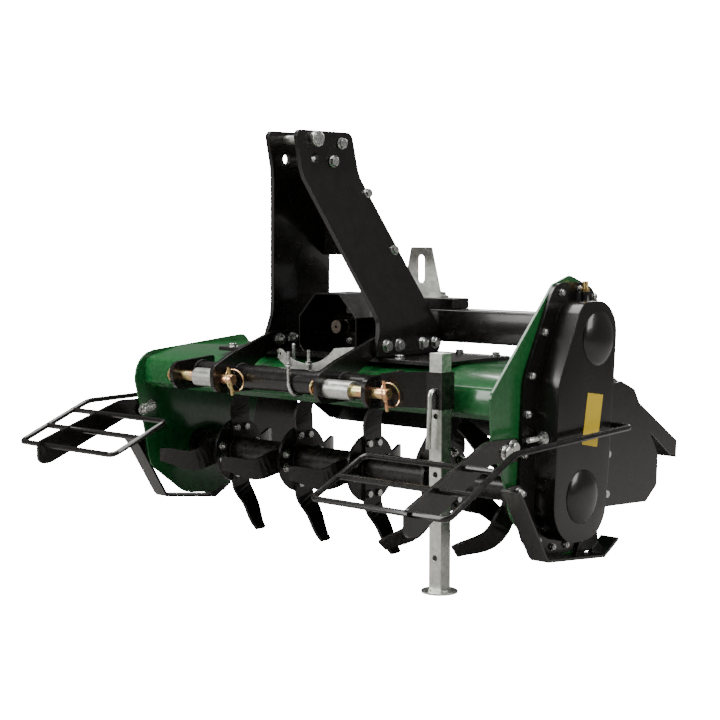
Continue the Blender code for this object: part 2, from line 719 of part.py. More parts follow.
def gearbox():
    top = BEAM_Z + BEAM_SIZE / 2
    body = [
        (-GEARBOX_HALF, DECK), (GEARBOX_HALF, DECK), (GEARBOX_HALF, top, 0.012),
        (-GEARBOX_HALF, top, 0.012),
    ]
    shape = outline(body, radians(30))
    made = slab("gearbox", shape, GEARBOX_FRONT, GEARBOX_BACK, CAST, "Y")
    socket = turned("gearbox_bore", [
        (GEARBOX_FRONT - 0.01, 0), (GEARBOX_FRONT - 0.01, PTO_RADIUS + RUNNING),
        (GEARBOX_FRONT + 0.040, PTO_RADIUS + RUNNING), (GEARBOX_FRONT + 0.040, 0),
    ], None, "Y", (0, PTO_Z), 24)
    combine(made, socket, "DIFFERENCE")
    passage = turned("gearbox_shaft_bore", [
        (-GEARBOX_HALF + 0.020, 0), (-GEARBOX_HALF + 0.020, CROSS_SHAFT_BORE),
        (GEARBOX_HALF + 0.01, CROSS_SHAFT_BORE), (GEARBOX_HALF + 0.01, 0),
    ], None, "X", (BEAM_Y, BEAM_Z), 24)
    combine(made, passage, "DIFFERENCE")


def pto_shaft():
    axis = pivot("pto_axis", (0, 0, PTO_Z))
    back = GEARBOX_FRONT + 0.038
    turned("pto_shaft", [
        (PTO_FRONT + 0.006, 0), (PTO_FRONT + 0.006, 0.003), (PTO_FRONT, 0.004),
        (PTO_FRONT, PTO_RADIUS - 0.0015), (PTO_FRONT + 0.002, PTO_RADIUS), (back, PTO_RADIUS), (back, 0),
    ], STEEL, "Y", (0, 0), 24, axis)


def pto_shield():
    outer = octagon(0.082, 0.034, DECK, 0.374, 0.049)
    inner = octagon(0.082 - SHEET, 0.034 - 0.001, DECK + SHEET, 0.374 - SHEET, 0.049 - 0.001)
    back = GEARBOX_FRONT - SEAT
    shell = slab("pto_shield", outer, SHIELD_FRONT, back, BLACK, "Y")
    hollow = slab("pto_shield_hollow", inner, SHIELD_FRONT - 0.01, back - SHEET, None, "Y")
    combine(shell, hollow, "DIFFERENCE")
    passage = turned("pto_shield_bore", [
        (back - 0.02, 0), (back - 0.02, PTO_RADIUS + 0.006), (back + 0.01, PTO_RADIUS + 0.006), (back + 0.01, 0),
    ], None, "Y", (0, PTO_Z), 20)
    combine(shell, passage, "DIFFERENCE")


def drive_housing():
    """Square hollow housing of the cross shaft, from the gearbox to the chain case's plate."""
    def square(half, corner):
        return outline([
            (BEAM_Y - half, BEAM_Z - half, corner), (BEAM_Y + half, BEAM_Z - half, corner),
            (BEAM_Y + half, BEAM_Z + half, corner), (BEAM_Y - half, BEAM_Z + half, corner),
        ], radians(45))

    half = BEAM_SIZE / 2
    slab("drive_housing", square(half, 0.006), GEARBOX_HALF + SEAT, SIDE_INNER - SEAT, BLACK, "X",
         [square(half - BEAM_WALL, 0.003)])


def mounting_plate():
    low = HOOD_TOP + SEAT
    shape = [
        (-0.318, -0.122, 0.010), (0.318, -0.122, 0.010), (0.318, 0.110, 0.010),
        (-0.318, 0.110, 0.010),
    ]
    slab("mounting_plate", outline(shape, radians(45)), low, MOUNT_TOP, BLACK, "Z")


def bracket():
    """Channel on the drive housing and the slotted plate that stands on it."""
    low = BEAM_Z + BEAM_SIZE / 2 + SEAT
    high = low + 0.022
    left, right = -0.050, 0.187
    box("top_channel", (left, BEAM_Y - 0.027, low), (right, BEAM_Y + 0.028, high), BLACK)
    x, y = 0.084, BEAM_Y - 0.005
    foot = high + SEAT
    shape = [
        (x - 0.050, foot), (x + 0.054, foot), (x + 0.053, foot + 0.010, 0.004),
        (x + 0.028, foot + 0.106, 0.004), (x - 0.028, foot + 0.106, 0.004), (x - 0.049, foot + 0.010, 0.004),
    ]
    slot = outline([
        (x - 0.0095, foot + 0.030, 0.009), (x + 0.0095, foot + 0.030, 0.009),
        (x + 0.0095, foot + 0.090, 0.009), (x - 0.0095, foot + 0.090, 0.009),
    ], radians(30))
    upright = slab("slotted_bracket", outline(shape, radians(30)), y - 0.002, y + 0.002, ZINC, "Y", [slot])
    foot_plate = box("slotted_bracket_foot", (x - 0.050, y - 0.001, foot), (x + 0.054, y + 0.026, foot + 0.004), None)
    combine(upright, foot_plate)


def pto_hook():
    """Curved strap that holds up a drive shaft, bolted on the right hitch plate's inner face."""
    front = HOOK_Y - HOOK_THICKNESS
    inner = HITCH_INNER - SEAT
    middle_x, middle_z = HOOK_CENTRE
    outside = HOOK_RADIUS + HOOK_WIDTH / 2
    inside = HOOK_RADIUS - HOOK_WIDTH / 2
    first, last = radians(230), radians(318)
    parts = 18
    angles = [first + (last - first) * k / parts for k in range(parts + 1)]
    low_edge = [(middle_x + outside * cos(a), middle_z + outside * sin(a)) for a in angles]
    high_edge = [(middle_x + inside * cos(a), middle_z + inside * sin(a)) for a in angles]
    end_x = middle_x + HOOK_RADIUS * cos(first)
    end_z = middle_z + HOOK_RADIUS * sin(first)
    tip = [(end_x + HOOK_WIDTH / 2 * cos(a), end_z + HOOK_WIDTH / 2 * sin(a))
           for a in [first - radians(45 * k) for k in (1, 2, 3)]]
    arm = [(inner - 0.001, HITCH_TOP - 0.0415), (inner - 0.001, HITCH_TOP - 0.0165)]
    eye = circle(end_x, end_z, 0.0035, 12)
    strap = slab("pto_hook", low_edge + arm + high_edge[::-1] + tip, front, HOOK_Y, ZINC, "Y", [eye])
    tab = box("pto_hook_tab", (inner - HOOK_THICKNESS, front, HITCH_TOP - 0.0415),
              (inner, HOOK_Y + 0.036, HITCH_TOP - 0.020), None)
    combine(strap, tab)


# -------------------------------------------------------------------- stand
def stand():
    half = STAND_SIZE / 2
    inner = half + SOCKET_GAP
    outer = inner + SOCKET_WALL

    def square(size):
        return [(STAND_X - size, STAND_Y - size), (STAND_X + size, STAND_Y - size),
                (STAND_X + size, STAND_Y + size), (STAND_X - size, STAND_Y + size)]

    socket = slab("stand_socket", square(outer), SOCKET_LOW, SOCKET_HIGH, BLACK, "Z", [square(inner)])
    start = CLEVIS_INNER + PLATE + SEAT
    end = STAND_X - inner - 0.001
    web_path = [(start, -0.2515, 0.234), (0.292, -0.240, 0.236), (end, STAND_Y - 0.006, SOCKET_HIGH)]
    web_low = SOCKET_LOW
    web = place("stand_socket_web", loft_body([
        [(x, y, web_low), (x, y, top), (x, y + 0.006, top), (x, y + 0.006, web_low)]
        for x, y, top in web_path
    ]), None)
    combine(socket, web)
    slide = pivot("stand_slide", (STAND_X, STAND_Y, 0))
    foot = -AXLE_HEIGHT
    post = slab("stand_post", [(x - STAND_X, y - STAND_Y) for x, y in square(half)],
                foot + 0.001, STAND_TOP, ZINC, "Z", parent=slide)
    sole = turned("stand_foot", [
        (foot, 0), (foot, FOOT_RADIUS), (foot + FOOT_THICKNESS, FOOT_RADIUS), (foot + FOOT_THICKNESS, 0),
    ], None, "Z", sides=28, parent=slide)
    combine(post, sole)
    bore = STAND_PIN_RADIUS + RUNNING
    for number, z in enumerate((STAND_PIN_Z, *STAND_HOLES)):
        drill = turned(f"stand_hole_{number}", [(-0.06, 0), (-0.06, bore), (0.06, bore), (0.06, 0)],
                       None, "Y", (0, z), 12, slide)
        combine(post, drill, "DIFFERENCE")
    drill = turned("socket_hole", [(-0.06, 0), (-0.06, bore), (0.06, bore), (0.06, 0)],
                   None, "Y", (0, STAND_PIN_Z), 12, slide)
    combine(socket, drill, "DIFFERENCE")
    front = STAND_Y - outer - 0.012
    handle = rounded_path([
        (STAND_X, STAND_Y + outer + 0.011, STAND_PIN_Z), (STAND_X, front, STAND_PIN_Z),
        (STAND_X, front, STAND_PIN_Z - 0.022), (STAND_X - 0.004, front, 0.098),
    ], 0.0105)
    pin = rod("stand_pin", handle, STAND_PIN_RADIUS, ZINC, 12)
    clip = [
        (0.0, 0.034), (0.0, 0.0), (-0.0022, -0.012), (0.0022, -0.028), (0.0, -0.040), (-0.006, -0.046),
        (-0.009, -0.054), (-0.004, -0.062), (0.004, -0.060), (0.005, -0.050),
    ]
    y = STAND_Y + outer + 0.006
    wire = rod("stand_clip", [(STAND_X + dx, y, STAND_PIN_Z + dz) for dx, dz in clip], 0.0013, None, 6)
    combine(pin, wire)


# --------------------------------------------------- guards, skids and board
def guard(name, side, lift):
    """Flat arm on the side plate with a ladder of round bars, and a rail past the side."""
    base = SIDE_OUTER + SEAT
    rail_end = base if side < 0 else CASE_INNER + CASE_FLANGE + SEAT
    arm_shape = [
        (ARM_BACK, 0.078, 0.006), (ARM_BACK, 0.078 + ARM_HEIGHT, 0.006),
        (-0.236, 0.080 + ARM_HEIGHT, 0.030), (GUARD_FRONT, 0.012 + ARM_HEIGHT / 2 + lift, 0.016),
        (GUARD_FRONT, -0.016 + lift, 0.016), (-0.430, -0.014 + lift, 0.016), (-0.224, 0.082, 0.030),
    ]
    low, high = sorted((side * base, side * (base + ARM_THICKNESS)))
    arm = slab(f"guard_{name}", outline(arm_shape), low, high, BLACK)
    rail_x = SIDE_OUTER + GUARD_OUTWARD
    inner_x = SIDE_OUTER - GUARD_INWARD
    front = (GUARD_FRONT + 0.016, 0.026 + lift)
    rear = (-0.302, 0.088 + lift * 0.7)
    middle = ((front[0] + rear[0]) / 2, (front[1] + rear[1]) / 2)
    loop = rounded_path([
        (side * (base + 0.003), rear[0], rear[1]), (side * inner_x, rear[0], rear[1]),
        (side * inner_x, front[0], front[1]), (side * rail_x, front[0], front[1]),
        (side * rail_x, -0.262, 0.113 + lift * 0.3), (side * rail_x, 0.119, 0.125),
        (side * rail_end, 0.119, 0.125),
    ], 0.016)
    bars = [loop, [(side * (base + 0.005), *rear), (side * rail_x, *rear)],
            [(side * inner_x, *middle), (side * rail_x, *middle)]]
    for number, path in enumerate(bars):
        combine(arm, rod(f"guard_{name}_bar_{number}", path, ROD, None, 8 + number))


def skid(name, side, rear):
    """Bent strip under the side plate, bolted on by an upright tab at each end."""
    base = (SIDE_OUTER if side < 0 else CASE_INNER + CASE_FLANGE) + SEAT
    path = [
        (-0.196, 0.030), (-0.182, 0.012), (-0.108, -0.106), (-0.100, -0.113), (rear, -0.132), (rear + 0.050, -0.104),
    ]
    low, high = sorted((side * base, side * (base + SKID_WIDTH)))
    strap = slab(f"skid_{name}", strip(path, SKID_THICKNESS), low, high, BLACK)
    tab_low, tab_high = sorted((side * base, side * (base + SKID_THICKNESS)))
    front_tab = [(-0.184, 0.016), (-0.158, -0.020), (-0.134, 0.006, 0.008), (-0.140, 0.036, 0.010), (-0.176, 0.036, 0.010)]
    rear_tab = [(0.040, -0.127), (rear + 0.030, -0.118), (rear + 0.022, -0.060, 0.010), (rear - 0.014, -0.052, 0.010)]
    for number, shape in enumerate((front_tab, rear_tab)):
        combine(strap, slab(f"skid_{name}_tab_{number}", outline(shape), tab_low, tab_high, None))


def wings():
    """Rear corner plates, bolted outside the side plates behind the rotor."""
    shape = [
        (0.140, 0.190, 0.006), (0.210, 0.203, 0.010), (0.262, 0.182, 0.010), (0.356, 0.037, 0.020),
        (0.353, -0.026, 0.010), (0.311, -0.056, 0.004), (0.142, -0.046, 0.006),
    ]
    for name, side in (("left", -1), ("right", 1)):
        base = SIDE_OUTER + SEAT
        low, high = sorted((side * base, side * (base + WING_THICKNESS)))
        slab(f"rear_wing_{name}", outline(shape), low, high, BLACK)


def levelling_board():
    """Rear board on a full-length hinge along the hood's rear edge."""
    hinge = pivot("board_hinge", (0, HINGE_Y, HINGE_Z))
    far = (BOARD_REAR - HINGE_Y, 0.056 - HINGE_Z)
    lip = (BOARD_REAR - 0.002 - HINGE_Y, 0.020 - HINGE_Z)
    path = [lip, far, (HINGE_RADIUS * 0.9, 0.0)]
    half = BOARD_HALF
    board = slab("levelling_board", strip(path, THIN_SHEET), -half, half, BLACK, parent=hinge)
    for number, side in enumerate((-1, 1)):
        flange = [(0.030, -0.020), (far[0] - 0.001, far[1] + 0.001), (lip[0] - 0.001, lip[1] + 0.004),
                  (lip[0] - 0.020, lip[1] + 0.006), (0.020, -0.042)]
        low, high = sorted((side * (half - THIN_SHEET), side * half))
        combine(board, slab(f"board_flange_{number}", flange, low, high, None, parent=hinge))
    knuckle = slab("board_knuckle", circle(0, 0, HINGE_RADIUS, 12), -half, half, None, parent=hinge)
    combine(board, knuckle)


rotor()
bearings()
side_plates()
hood()
chain_case()
breather()
hitch_plates()
clevis_plates()
cross_tube()
lower_pins()
mast_plates()
mast_head()
mast_brace()
gearbox()
pto_shaft()
pto_shield()
drive_housing()
mounting_plate()
bracket()
pto_hook()
stand()
guard("left", -1, 0.018)
guard("right", 1, -0.005)
skid("left", -1, 0.050)
skid("right", 1, 0.090)
wings()
levelling_board()
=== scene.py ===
import json
from math import atan2, cos, pi, radians, sin

import bmesh
import bpy
from mathutils import Matrix, Vector, noise


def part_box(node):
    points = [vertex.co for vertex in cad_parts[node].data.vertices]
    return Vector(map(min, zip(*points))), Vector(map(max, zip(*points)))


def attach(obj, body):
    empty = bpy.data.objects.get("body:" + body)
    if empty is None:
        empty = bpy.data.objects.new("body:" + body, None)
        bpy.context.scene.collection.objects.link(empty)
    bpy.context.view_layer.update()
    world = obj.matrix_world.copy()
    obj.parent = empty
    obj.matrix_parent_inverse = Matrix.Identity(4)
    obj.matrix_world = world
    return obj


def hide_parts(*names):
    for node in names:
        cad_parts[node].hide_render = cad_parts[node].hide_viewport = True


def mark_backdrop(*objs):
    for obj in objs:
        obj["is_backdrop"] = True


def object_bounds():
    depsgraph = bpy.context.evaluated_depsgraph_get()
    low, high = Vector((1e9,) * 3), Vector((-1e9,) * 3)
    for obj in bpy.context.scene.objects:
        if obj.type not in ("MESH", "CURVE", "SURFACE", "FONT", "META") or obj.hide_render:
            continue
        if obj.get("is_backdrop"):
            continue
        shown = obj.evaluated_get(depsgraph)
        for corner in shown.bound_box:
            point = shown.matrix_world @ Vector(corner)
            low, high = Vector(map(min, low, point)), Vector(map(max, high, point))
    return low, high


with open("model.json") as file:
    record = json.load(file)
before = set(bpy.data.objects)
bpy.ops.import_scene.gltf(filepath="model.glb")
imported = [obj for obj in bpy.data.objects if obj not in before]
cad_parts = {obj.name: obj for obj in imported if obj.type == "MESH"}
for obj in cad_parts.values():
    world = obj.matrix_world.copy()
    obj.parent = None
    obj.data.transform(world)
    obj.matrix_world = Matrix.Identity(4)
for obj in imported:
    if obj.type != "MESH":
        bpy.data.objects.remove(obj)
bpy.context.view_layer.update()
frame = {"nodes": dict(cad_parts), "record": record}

# ------------------------------------------------------------ where things are
low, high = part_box("rotor_shaft")
AXLE = Vector((0.0, (low[1] + high[1]) / 2, (low[2] + high[2]) / 2))
ROTOR = ["rotor_shaft"] + [f"blade_set_{k}" for k in range(1, 6)]
BODY = {name: "frame" for name in frame["nodes"]}
BODY.update({name: "rotor" for name in ROTOR})
BODY["pto_shaft"] = "input"
BODY["levelling_board"] = "board"

# Sizes of the CAD part, in metres about the rotor's centre line
PLATE = 0.010
SEAT = 0.0003
SIDE_INNER = 0.506
SIDE_OUTER = 0.512
CASE_FACE = SIDE_OUTER + SEAT + 0.007
CASE_COVER_FACE = SIDE_OUTER + SEAT + 0.054
ARM_FACE = SIDE_OUTER + SEAT + 0.008
SKID_THICKNESS = 0.006
WING_THICKNESS = 0.003
HITCH_INNER = 0.142
CLEVIS_INNER = 0.266
TUBE_Y, TUBE_Z = -0.212, 0.200
MAST_HEAD_INNER = 0.035
MAST_HEAD_LOW = 0.615
MAST_FOOT_TOP = 0.304
MAST_FOOT_FACE = HITCH_INNER + 2 * PLATE + SEAT
MAST_HEAD_FACE = MAST_HEAD_INNER + PLATE
DECK = 0.2486
PTO_Z = 0.303
PTO_FRONT = -0.078
PTO_RADIUS = 0.0145
GEARBOX_HALF = 0.072
GEARBOX_BACK = 0.150
HOUSING_Y = 0.105
STAND_X, STAND_Y = 0.385, -0.205

# The rotor's flanges and how far each is turned
FLANGES = [-0.380 + 0.2035 * k for k in range(5)]
TURNS = [radians(a) for a in (90, 90, 90, -40, -49)]
TINES = 4
TINE_BOLT_CIRCLE = 0.056
TINE_BOLT_LEAN = 0.27


def at(x, y, z):
    """A point given about the rotor's centre line, in the row frame."""
    return Vector((x, y, z)) + AXLE


# -------------------------------------------------------------- node building
def new_material(name):
    made = bpy.data.materials.new(name)
    made.use_nodes = True
    tree = made.node_tree
    return made, tree, tree.nodes["Principled BSDF"]


def node(tree, kind, **values):
    made = tree.nodes.new(kind)
    for key, value in values.items():
        if key in made.inputs:
            made.inputs[key].default_value = value
        else:
            setattr(made, key, value)
    return made


def coordinates(tree, stretch=(1, 1, 1)):
    where = tree.nodes.new("ShaderNodeTexCoord")
    scale = node(tree, "ShaderNodeMapping")
    scale.inputs["Scale"].default_value = stretch
    tree.links.new(where.outputs["Object"], scale.inputs["Vector"])
    return scale.outputs["Vector"]


def noise_tex(tree, vector, scale, detail=3.0, rough=0.5):
    made = node(tree, "ShaderNodeTexNoise", Scale=scale, Detail=detail, Roughness=rough)
    tree.links.new(vector, made.inputs["Vector"])
    return made.outputs["Fac"]


def ramp(tree, value, stops):
    made = tree.nodes.new("ShaderNodeValToRGB")
    element = made.color_ramp.elements
    while len(element) < len(stops):
        element.new(0.5)
    for item, (place, colour) in zip(element, stops):
        item.position = place
        item.color = (*colour, 1.0) if len(colour) == 3 else colour
    tree.links.new(value, made.inputs["Fac"])
    return made.outputs["Color"]


def spread(tree, value, low_out, high_out, low_in=0.3, high_in=0.7):
    made = tree.nodes.new("ShaderNodeMapRange")
    limits = {"From Min": low_in, "From Max": high_in, "To Min": low_out, "To Max": high_out}
    for key, number in limits.items():
        made.inputs[key].default_value = number
    tree.links.new(value, made.inputs["Value"])
    return made.outputs["Result"]


def bump(tree, value, strength, distance, before=None):
    made = node(tree, "ShaderNodeBump", Strength=strength, Distance=distance)
    tree.links.new(value, made.inputs["Height"])
    if before is not None:
        tree.links.new(before, made.inputs["Normal"])
    return made.outputs["Normal"]


def mix(tree, factor, first, second):
    made = tree.nodes.new("ShaderNodeMix")
    made.data_type = "RGBA"
    tree.links.new(factor, made.inputs["Factor"])
    for key, colour in (("A", first), ("B", second)):
        socket = [s for s in made.inputs if s.name == key and s.type == "RGBA"][0]
        if isinstance(colour, tuple):
            socket.default_value = (*colour, 1.0)
        else:
            tree.links.new(colour, socket)
    return [s for s in made.outputs if s.type == "RGBA"][0]


def painted(name, dark, light, rough, coat, peel, dust, edge=None):
    """Paint over steel: slow colour drift, orange peel, fine specks and a worn light edge."""
    made, tree, shader = new_material(name)
    here = coordinates(tree)
    slow = noise_tex(tree, here, 7.0, 4.0)
    fine = noise_tex(tree, here, 1400.0, 2.0)
    colour = ramp(tree, slow, [(0.20, dark), (0.85, light)])
    specks = ramp(tree, fine, [(0.70, (0, 0, 0)), (0.78, (1, 1, 1))])
    colour = mix(tree, specks, colour, dust)
    if edge is not None:
        shape = tree.nodes.new("ShaderNodeNewGeometry")
        patch = noise_tex(tree, here, 90.0, 4.0)
        worn = tree.nodes.new("ShaderNodeMath")
        worn.operation = "MULTIPLY"
        sharp = ramp(tree, shape.outputs["Pointiness"], [(0.53, (0, 0, 0)), (0.60, (1, 1, 1))])
        patches = ramp(tree, patch, [(0.42, (0, 0, 0)), (0.60, (1, 1, 1))])
        tree.links.new(sharp, worn.inputs[0])
        tree.links.new(patches, worn.inputs[1])
        colour = mix(tree, worn.outputs[0], colour, edge)
    tree.links.new(colour, shader.inputs["Base Color"])
    cloud = noise_tex(tree, here, 38.0, 5.0, 0.6)
    tree.links.new(spread(tree, cloud, rough - 0.02, rough + 0.04), shader.inputs["Roughness"])
    skin = noise_tex(tree, here, peel, 2.0)
    waves = noise_tex(tree, here, 14.0, 1.0)
    normal = bump(tree, skin, 0.05, 0.0003)
    normal = bump(tree, waves, 0.05, 0.0012, normal)
    tree.links.new(normal, shader.inputs["Normal"])
    shader.inputs["Coat Weight"].default_value = coat
    shader.inputs["Coat Roughness"].default_value = 0.09
    return made


def plated(name, stops, rough, cell, grain=None):
    """Plated or bare metal: cells of slightly different tone, streaks and tiny scratches."""
    made, tree, shader = new_material(name)
    here = coordinates(tree)
    cells = tree.nodes.new("ShaderNodeTexVoronoi")
    cells.inputs["Scale"].default_value = cell
    tree.links.new(here, cells.inputs["Vector"])
    soft = noise_tex(tree, here, cell * 0.35, 5.0, 0.65)
    pick = tree.nodes.new("ShaderNodeMix")
    pick.data_type = "FLOAT"
    pick.inputs["Factor"].default_value = 0.55
    split = tree.nodes.new("ShaderNodeSeparateColor")
    tree.links.new(cells.outputs["Color"], split.inputs["Color"])
    floats = [s for s in pick.inputs if s.type == "VALUE" and s.name in "AB"]
    tree.links.new(split.outputs["Red"], floats[0])
    tree.links.new(soft, floats[1])
    value = [s for s in pick.outputs if s.type == "VALUE"][0]
    tree.links.new(ramp(tree, value, stops), shader.inputs["Base Color"])
    shine = spread(tree, value, rough - 0.05, rough + 0.06, 0.2, 0.8)
    tree.links.new(shine, shader.inputs["Roughness"])
    lines = coordinates(tree, grain or (1, 1, 1))
    scratch = noise_tex(tree, lines, 420.0, 3.0, 0.6)
    tree.links.new(bump(tree, scratch, 0.06, 0.0002), shader.inputs["Normal"])
    shader.inputs["Metallic"].default_value = 1.0
    return made


GREEN = painted(
    "green_paint", (0.006, 0.085, 0.018), (0.009, 0.105, 0.024),
    rough=0.20, coat=0.6, peel=520.0, dust=(0.012, 0.115, 0.030), edge=(0.030, 0.150, 0.050),
)
BLACK = painted(
    "black_coat", (0.0036, 0.0030, 0.0026), (0.0050, 0.0042, 0.0036),
    rough=0.24, coat=0.30, peel=900.0, dust=(0.009, 0.008, 0.007), edge=(0.018, 0.016, 0.014),
)
TINE = painted(
    "tine_paint", (0.0040, 0.0034, 0.0029), (0.0066, 0.0054, 0.0046),
    rough=0.28, coat=0.20, peel=700.0, dust=(0.014, 0.012, 0.010), edge=(0.050, 0.043, 0.037),
)
CAST = painted(
    "cast_iron", (0.0050, 0.0044, 0.0040), (0.0080, 0.0070, 0.0062),
    rough=0.40, coat=0.0, peel=330.0, dust=(0.030, 0.028, 0.025),
)
ZINC = plated(
    "zinc", [(0.15, (0.62, 0.65, 0.61)), (0.50, (0.74, 0.76, 0.71)), (0.90, (0.86, 0.87, 0.82))],
    rough=0.34, cell=150.0,
)
BOLT_ZINC = plated(
    "bolt_zinc", [(0.20, (0.62, 0.64, 0.62)), (0.80, (0.86, 0.87, 0.84))], rough=0.24, cell=420.0,
)
YELLOW = plated(
    "yellow_zinc", [(0.25, (0.80, 0.40, 0.24)), (0.50, (0.82, 0.56, 0.26)), (0.75, (0.62, 0.60, 0.28))],
    rough=0.27, cell=60.0, grain=(1, 6, 1),
)
STEEL = plated(
    "steel", [(0.20, (0.075, 0.062, 0.052)), (0.80, (0.130, 0.110, 0.092))],
    rough=0.46, cell=300.0, grain=(1, 14, 1),
)
BRASS = plated(
    "brass", [(0.20, (0.46, 0.32, 0.12)), (0.80, (0.70, 0.52, 0.22))], rough=0.30, cell=260.0,
)
PLASTIC = painted(
    "black_plastic", (0.010, 0.010, 0.010), (0.016, 0.015, 0.015),
    rough=0.42, coat=0.0, peel=1200.0, dust=(0.030, 0.030, 0.030),
)
SIGN = painted(
    "yellow_sign", (0.62, 0.44, 0.020), (0.70, 0.51, 0.030),
    rough=0.40, coat=0.2, peel=800.0, dust=(0.55, 0.42, 0.08),
)

SLOT_PAINT = {
    "green_paint": GREEN, "black_coat": BLACK, "tine_paint": TINE, "cast_iron": CAST,
    "zinc": ZINC, "yellow_zinc": YELLOW, "steel": STEEL, "brass": BRASS,
}
SLOTS = {entry["node"]: entry["material_slot"] for entry in frame["record"]["subparts"]}


# ------------------------------------------------------------- piece building
def finish_piece(name, body, paint, rides, angle=35):
    """A bmesh made into a piece of the object that rides a CAD body."""
    bmesh.ops.recalc_face_normals(body, faces=body.faces)
    mesh = bpy.data.meshes.new(name)
    body.to_mesh(mesh)
    body.free()
    mesh.materials.append(paint)
    mesh.shade_smooth()
    mesh.set_sharp_from_angle(angle=radians(angle))
    made = bpy.data.objects.new(name, mesh)
    bpy.context.scene.collection.objects.link(made)
    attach(made, rides)
    return made


def refine(name, width, segments=2, angle=30):
    """The CAD node again, with its flat faces merged and its edges rounded."""
    source = frame["nodes"][name]
    body = bmesh.new()
    body.from_mesh(source.data)
    bmesh.ops.remove_doubles(body, verts=body.verts, dist=2e-6)
    bmesh.ops.dissolve_limit(body, angle_limit=radians(0.6), verts=body.verts, edges=body.edges)
    slot_name = SLOTS[name]
    made = finish_piece(f"{name}_skin", body, SLOT_PAINT[slot_name], BODY[name])
    rounding = made.modifiers.new("round", "BEVEL")
    rounding.width = width
    rounding.segments = segments
    rounding.limit_method = "ANGLE"
    rounding.angle_limit = radians(angle)
    rounding.use_clamp_overlap = True
    rounding.harden_normals = True
    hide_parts(name)
    return made


EDGE = 0.0008
ROUNDING = {
    "gearbox": 0.004, "chain_case": 0.0012, "drive_housing": 0.0015, "pto_shield": 0.0007,
    "mast_plate_left": 0.0009, "mast_plate_right": 0.0009,
    "hitch_plate_left": 0.0010, "hitch_plate_right": 0.0010,
    "side_plate_left": 0.0010, "side_plate_right": 0.0010,
    "stand_post": 0.0012, "top_channel": 0.0018, "levelling_board": 0.0005,
    "rear_wing_left": 0.0006, "rear_wing_right": 0.0006,
    "ring_pin_left": 0.0003, "ring_pin_right": 0.0003, "stand_pin": 0.0004,
}
for name in frame["nodes"]:
    if name != "pto_shaft":
        refine(name, ROUNDING.get(name, EDGE))


# ----------------------------------------------------------- fasteners, welds
def frame_of(axis):
    """Rotation that turns +Z onto an axis."""
    return Vector((0, 0, 1)).rotation_difference(Vector(axis).normalized()).to_matrix().to_4x4()


def lathe(body, profile, place, turn, sides=20, spin=0.0):
    """Turned solid added to a bmesh: profile of (along, radius), along the local Z."""
    rings = []
    for along, radius in profile:
        if radius == 0:
            rings.append([body.verts.new(place @ turn @ Vector((0, 0, along)))])
            continue
        rings.append([
            body.verts.new(place @ turn @ Vector((
                radius * cos(2 * pi * k / sides + spin),
                radius * sin(2 * pi * k / sides + spin), along)))
            for k in range(sides)
        ])
    for first, second in zip(rings, rings[1:]):
        for k in range(sides):
            corner = [first[k % len(first)], first[(k + 1) % len(first)],
                      second[(k + 1) % len(second)], second[k % len(second)]]
            face = list(dict.fromkeys(corner))
            if len(face) > 2:
                body.faces.new(face)


def fastener(body, where, axis, size, washer=1.0, tail=0.0, spin=0.0):
    """Hexagon head or nut on a washer, standing on a face; size is the thread's radius."""
    place = Matrix.Translation(where)
    turn = frame_of(axis)
    across = size * 1.85
    head = size * 1.25
    base = 0.0
    if washer:
        rim = size * 2.2 * washer
        base = 0.0016
        lathe(body, [
            (-0.0002, 0), (-0.0002, rim), (base * 0.8, rim), (base, rim * 0.96), (base, 0),
        ], place, turn)
    lathe(body, [
        (base, 0), (base, across), (base + head * 0.86, across), (base + head, across * 0.86),
        (base + head, 0),
    ], place, turn, 6, spin)
    lathe(body, [
        (base + head * 0.5, across * 0.90), (base + head * 0.93, across * 0.90),
        (base + head * 1.02, across * 0.80), (base + head * 1.02, 0),
    ], place, turn, 24)
    if tail:
        top = base + head + tail
        lathe(body, [
            (base, 0), (base, size), (top - size * 0.3, size), (top, size * 0.7), (top, 0),
        ], place, turn, 14)


def fasteners(name, spots, rides="frame", paint=BOLT_ZINC):
    body = bmesh.new()
    for number, spot in enumerate(spots):
        fastener(body, *spot[:3], **(spot[3] if len(spot) > 3 else {}), spin=0.7 * number)
    return finish_piece(name, body, paint, rides, 30)


def tube_along(body, path, radius, sides=10, ripple=0.0, closed=False):
    """Round bar along a path, with an optional weld-like ripple."""
    rings = []
    side = None
    count = len(path)
    for k, here in enumerate(path):
        before = path[k - 1] if k or closed else here
        after = path[(k + 1) % count] if closed or k + 1 < count else here
        along = (after - before).normalized()
        side = side or along.orthogonal().normalized()
        side = (side - along * side.dot(along)).normalized()
        other = along.cross(side)
        size = radius * (1 + ripple * sin(k * pi / 2.0) + ripple * noise.noise(here * 400.0))
        rings.append([
            body.verts.new(here + size * (
                side * cos(2 * pi * n / sides) + other * sin(2 * pi * n / sides)))
            for n in range(sides)
        ])
    pairs = list(zip(rings, rings[1:])) + ([(rings[-1], rings[0])] if closed else [])
    for first, second in pairs:
        for n in range(sides):
            body.faces.new((first[n - 1], first[n], second[n], second[n - 1]))
    if not closed:
        body.faces.new(rings[0])
        body.faces.new(rings[-1][::-1])


def ring_path(centre, radius, axis, step=0.0011):
    """Points round a circle; the start is the axis's own side direction."""
    turn = frame_of(axis)
    count = max(16, int(2 * pi * radius / step))
    return [
        Vector(centre) + turn @ Vector((
            radius * cos(2 * pi * k / count), radius * sin(2 * pi * k / count), 0))
        for k in range(count)
    ]


def bridge(body, rings):
    """Faces between rings of as many points, each closed on itself."""
    for first, second in zip(rings, rings[1:]):
        for k in range(len(first)):
            body.faces.new((first[k - 1], first[k], second[k], second[k - 1]))


def line_path(start, end, step=0.0011):
    count = max(4, int((end - start).length / step))
    return [start.lerp(end, k / count) for k in range(count + 1)]


